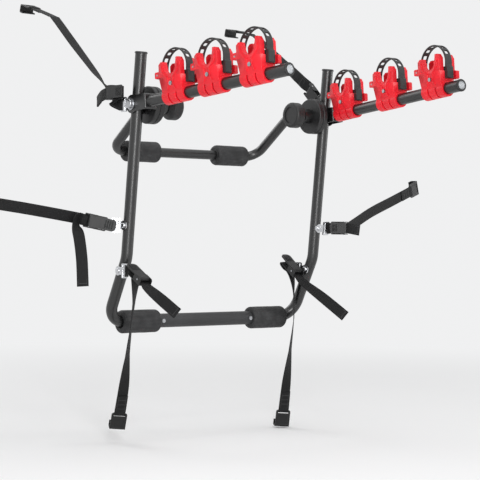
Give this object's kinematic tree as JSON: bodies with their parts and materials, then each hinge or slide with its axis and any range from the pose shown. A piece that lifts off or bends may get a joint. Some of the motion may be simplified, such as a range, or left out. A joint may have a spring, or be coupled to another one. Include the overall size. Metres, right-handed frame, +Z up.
{
  "type": "trunk mounted bike rack",
  "caption": "Strap-on car boot bike rack: tubular frame with foam rollers, hinged upper hoop, fold-down arms with red strap cradles, and webbing straps with buckles and hooks.",
  "frame": {"origin": "midway between the two lower foam rollers, on the face that they press on", "axes": "+X across the car to the right seen from behind, +Y towards the car, +Z up"},
  "size_m": [1.3888, 0.9733, 1.0144],
  "materials": {
    "black_tube": "satin powder coat",
    "bar_tube": "matt powder coat",
    "foam": "closed-cell foam",
    "black_plastic": "fine grain",
    "steel": "zinc plated",
    "bright_plate": "bright zinc",
    "buckle": "black die cast",
    "webbing": "woven webbing",
    "hook": "dipped black",
    "red_plastic": "moulded nylon",
    "strap_rubber": "moulded rubber"
  },
  "bodies": {
    "main_frame": {"left_leg_tube": "black_tube", "right_leg_tube": "black_tube", "lower_bar": "bar_tube", "lower_bar_screws": "steel", "left_lower_roller": "foam", "right_lower_roller": "foam", "leg_top_caps": "black_plastic", "left_hub_disc": "black_plastic", "right_hub_disc": "black_plastic", "hub_bolts": "steel", "hub_washers": "steel", "strap_brackets": "bright_plate", "bracket_rivets": "steel", "buckle_bodies": "buckle", "lever_pins": "steel", "strap_hooks": "hook", "top_left_strap": "webbing", "top_right_strap": "webbing", "side_left_strap": "webbing", "side_right_strap": "webbing", "bottom_left_strap": "webbing", "bottom_right_strap": "webbing"},
    "upper_hoop": {"hoop_tube": "black_tube", "hoop_pivot_eyes": "black_tube", "left_hoop_disc": "black_plastic", "right_hoop_disc": "black_plastic", "left_upper_roller": "foam", "right_upper_roller": "foam"},
    "left_arm": {"left_arm_bracket": "black_tube", "left_arm_tube": "black_tube", "left_arm_cap": "black_plastic", "left_clamp_screws": "steel", "left_strap_pins": "steel", "left_cradle_1": "red_plastic", "left_cradle_2": "red_plastic", "left_cradle_3": "red_plastic"},
    "left_knob": {"left_knob": "black_plastic", "left_knob_nut": "steel"},
    "left_ladder_strap_1": {"left_ladder_strap_1": "strap_rubber"},
    "left_ladder_strap_2": {"left_ladder_strap_2": "strap_rubber"},
    "left_ladder_strap_3": {"left_ladder_strap_3": "strap_rubber"},
    "right_arm": {"right_arm_bracket": "black_tube", "right_arm_tube": "black_tube", "right_arm_cap": "black_plastic", "right_clamp_screws": "steel", "right_strap_pins": "steel", "right_cradle_1": "red_plastic", "right_cradle_2": "red_plastic", "right_cradle_3": "red_plastic"},
    "right_knob": {"right_knob": "black_plastic", "right_knob_nut": "steel"},
    "right_ladder_strap_1": {"right_ladder_strap_1": "strap_rubber"},
    "right_ladder_strap_2": {"right_ladder_strap_2": "strap_rubber"},
    "right_ladder_strap_3": {"right_ladder_strap_3": "strap_rubber"},
    "top_left_lever": {"top_left_lever": "buckle"},
    "top_right_lever": {"top_right_lever": "buckle"},
    "side_left_lever": {"side_left_lever": "buckle"},
    "side_right_lever": {"side_right_lever": "buckle"},
    "bottom_left_lever": {"bottom_left_lever": "buckle"},
    "bottom_right_lever": {"bottom_right_lever": "buckle"}
  },
  "joints": [
    {"name": "hoop_hinge", "type": "hinge", "parent": "main_frame", "child": "upper_hoop", "pos_m": [0, -0.138, 0.477], "axis": [1, 0, 0], "range_deg": [-50, 90]},
    {"name": "left_arm_hinge", "type": "hinge", "parent": "main_frame", "child": "left_arm", "pos_m": [-0.268, -0.138, 0.477], "axis": [1, 0, 0], "range_deg": [-10, 60]},
    {"name": "left_knob_turn", "type": "hinge", "parent": "main_frame", "child": "left_knob", "pos_m": [-0.18, -0.138, 0.477], "axis": [1, 0, 0], "continuous": true},
    {"name": "left_strap_1_hinge", "type": "hinge", "parent": "left_arm", "child": "left_ladder_strap_1", "pos_m": [-0.26451, -0.23358, 0.53053], "axis": [-0.9976, -0.0695, 0.0061], "range_deg": [0, 90]},
    {"name": "left_strap_2_hinge", "type": "hinge", "parent": "left_arm", "child": "left_ladder_strap_2", "pos_m": [-0.25642, -0.34885, 0.54062], "axis": [-0.9976, -0.0695, 0.0061], "range_deg": [0, 60]},
    {"name": "left_strap_3_hinge", "type": "hinge", "parent": "left_arm", "child": "left_ladder_strap_3", "pos_m": [-0.24749, -0.47606, 0.55175], "axis": [-0.9976, -0.0695, 0.0061], "range_deg": [0, 75]},
    {"name": "right_arm_hinge", "type": "hinge", "parent": "main_frame", "child": "right_arm", "pos_m": [0.268, -0.138, 0.477], "axis": [1, 0, 0], "range_deg": [-10, 60]},
    {"name": "right_knob_turn", "type": "hinge", "parent": "main_frame", "child": "right_knob", "pos_m": [0.18, -0.138, 0.477], "axis": [1, 0, 0], "continuous": true},
    {"name": "right_strap_1_hinge", "type": "hinge", "parent": "right_arm", "child": "right_ladder_strap_1", "pos_m": [0.26828, -0.17991, 0.52584], "axis": [-0.9976, 0.0695, -0.0061], "range_deg": [0, 35]},
    {"name": "right_strap_2_hinge", "type": "hinge", "parent": "right_arm", "child": "right_ladder_strap_2", "pos_m": [0.25726, -0.33693, 0.53958], "axis": [-0.9976, 0.0695, -0.0061], "range_deg": [0, 100]},
    {"name": "right_strap_3_hinge", "type": "hinge", "parent": "right_arm", "child": "right_ladder_strap_3", "pos_m": [0.24638, -0.49196, 0.55314], "axis": [-0.9976, 0.0695, -0.0061], "range_deg": [0, 100]},
    {"name": "top_left_lever_hinge", "type": "hinge", "parent": "main_frame", "child": "top_left_lever", "pos_m": [-0.3104, -0.09, 0.503], "axis": [0, 0, -1], "range_deg": [0, 70], "stiffness_Nm_per_rad": 0.02, "springref_deg": -20.05},
    {"name": "top_right_lever_hinge", "type": "hinge", "parent": "main_frame", "child": "top_right_lever", "pos_m": [0.2806, -0.06956, 0.54429], "axis": [0, 0.6919, -0.722], "range_deg": [0, 70], "stiffness_Nm_per_rad": 0.02, "springref_deg": -20.05},
    {"name": "side_left_lever_hinge", "type": "hinge", "parent": "main_frame", "child": "side_left_lever", "pos_m": [-0.34325, -0.06876, 0.22424], "axis": [-0.1796, 0.0959, -0.9791], "range_deg": [0, 70], "stiffness_Nm_per_rad": 0.02, "springref_deg": -20.05},
    {"name": "side_right_lever_hinge", "type": "hinge", "parent": "main_frame", "child": "side_right_lever", "pos_m": [0.34994, -0.12169, 0.215], "axis": [0, 0, 1], "range_deg": [0, 70], "stiffness_Nm_per_rad": 0.02, "springref_deg": -20.05},
    {"name": "bottom_left_lever_hinge", "type": "hinge", "parent": "main_frame", "child": "bottom_left_lever", "pos_m": [-0.281, -0.18386, 0.10006], "axis": [1, 0, 0], "range_deg": [0, 70], "stiffness_Nm_per_rad": 0.02, "springref_deg": -20.05},
    {"name": "bottom_right_lever_hinge", "type": "hinge", "parent": "main_frame", "child": "bottom_right_lever", "pos_m": [0.233, -0.08304, 0.11172], "axis": [1, 0, 0], "range_deg": [0, 70], "stiffness_Nm_per_rad": 0.02, "springref_deg": -20.05}
  ]
}
